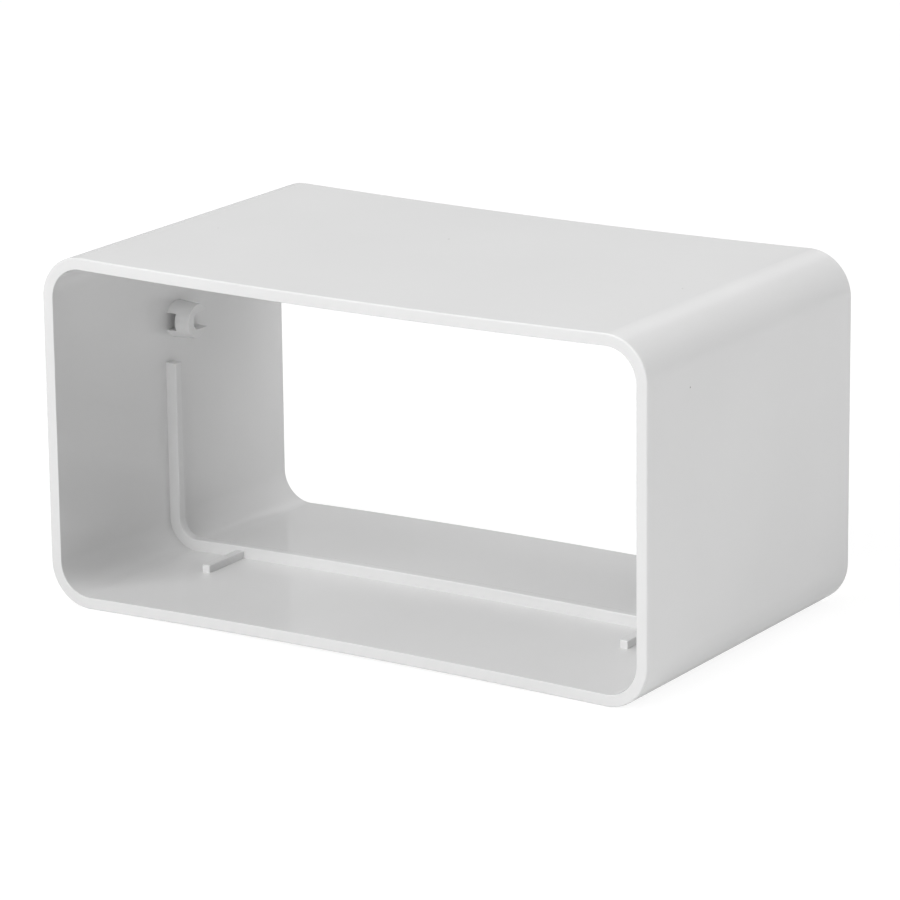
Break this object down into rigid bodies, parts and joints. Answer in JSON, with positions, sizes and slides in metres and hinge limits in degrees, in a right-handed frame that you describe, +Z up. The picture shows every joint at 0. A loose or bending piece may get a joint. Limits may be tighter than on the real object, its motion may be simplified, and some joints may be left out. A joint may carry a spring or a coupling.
{
  "type": "rectangular duct connector",
  "caption": "Straight sleeve that joins two ends of flat rectangular ventilation duct, with an internal stop rib and slotted pivot bosses for a flap.",
  "frame": {"origin": "centre of the underside, halfway along the duct, on the surface the sleeve rests on", "axes": "+X across the width, +Y along the duct from the front mouth to the back mouth, +Z up towards the wall above the pivot bosses"},
  "size_m": [0.115, 0.066, 0.06],
  "materials": {
    "connector_sleeve": "smooth white injection-moulded plastic, glossy inside and satin outside"
  },
  "bodies": {
    "root": {"connector_sleeve": "connector_sleeve"}
  },
  "joints": []
}
